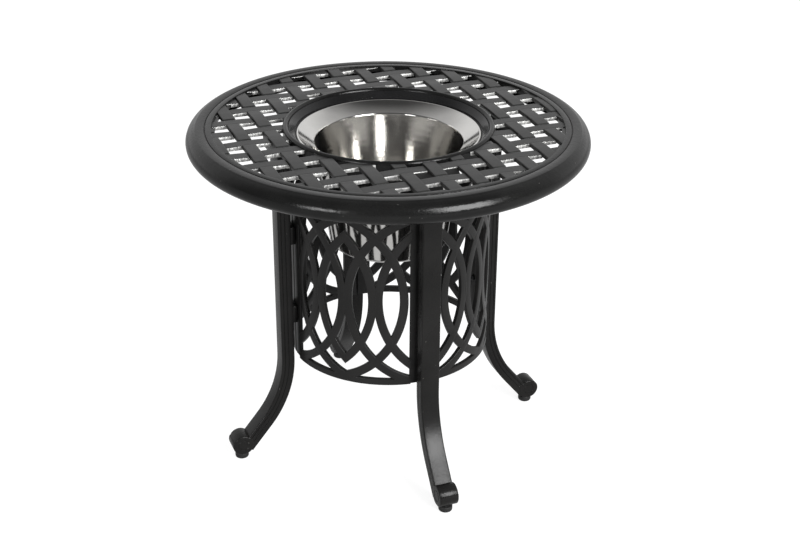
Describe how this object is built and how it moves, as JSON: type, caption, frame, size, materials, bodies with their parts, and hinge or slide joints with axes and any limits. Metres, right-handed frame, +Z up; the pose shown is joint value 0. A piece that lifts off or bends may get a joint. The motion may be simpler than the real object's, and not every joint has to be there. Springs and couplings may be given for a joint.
{
  "type": "ice bucket table",
  "caption": "Round cast metal patio table with a basket-weave top, a lift-out steel ice bucket in its middle, curved legs and a pierced round skirt.",
  "frame": {"origin": "on the floor, at the vertical axis of the round top", "axes": "+Z up; -Y towards the front leg, +X towards the right leg; the weave's slats run along X and Y"},
  "size_m": [0.5599, 0.56, 0.498],
  "materials": {
    "powder_coat": "charcoal powder coat on castings, satin with a fine orange peel",
    "collar_gloss": "gloss black coating",
    "polished_steel": "polished stainless steel",
    "screw_black": "black coated steel screws",
    "zinc_steel": "zinc plated steel",
    "glide_plastic": "black moulded plastic"
  },
  "bodies": {
    "stand": {"table_top": "powder_coat", "bucket_collar": "collar_gloss", "leg_right": "powder_coat", "leg_back": "powder_coat", "leg_left": "powder_coat", "leg_front": "powder_coat", "skirt_back_right": "powder_coat", "skirt_back_left": "powder_coat", "skirt_front_left": "powder_coat", "skirt_front_right": "powder_coat", "skirt_screws": "screw_black", "leg_bolts": "zinc_steel", "leg_bolt_washers": "zinc_steel"},
    "bucket": {"ice_bucket": "polished_steel"},
    "glide_right": {"glide_pad_right": "glide_plastic", "glide_stud_right": "zinc_steel"},
    "glide_back": {"glide_pad_back": "glide_plastic", "glide_stud_back": "zinc_steel"},
    "glide_left": {"glide_pad_left": "glide_plastic", "glide_stud_left": "zinc_steel"},
    "glide_front": {"glide_pad_front": "glide_plastic", "glide_stud_front": "zinc_steel"}
  },
  "joints": [
    {"name": "bucket_lift", "type": "slide", "parent": "stand", "child": "bucket", "axis": [0, 0, 1], "range_m": [0, 0.18]},
    {"name": "glide_right_level", "type": "slide", "parent": "stand", "child": "glide_right", "axis": [0, 0, -1], "range_m": [0, 0.008]},
    {"name": "glide_back_level", "type": "slide", "parent": "stand", "child": "glide_back", "axis": [0, 0, -1], "range_m": [0, 0.008]},
    {"name": "glide_left_level", "type": "slide", "parent": "stand", "child": "glide_left", "axis": [0, 0, -1], "range_m": [0, 0.008]},
    {"name": "glide_front_level", "type": "slide", "parent": "stand", "child": "glide_front", "axis": [0, 0, -1], "range_m": [0, 0.008]}
  ]
}
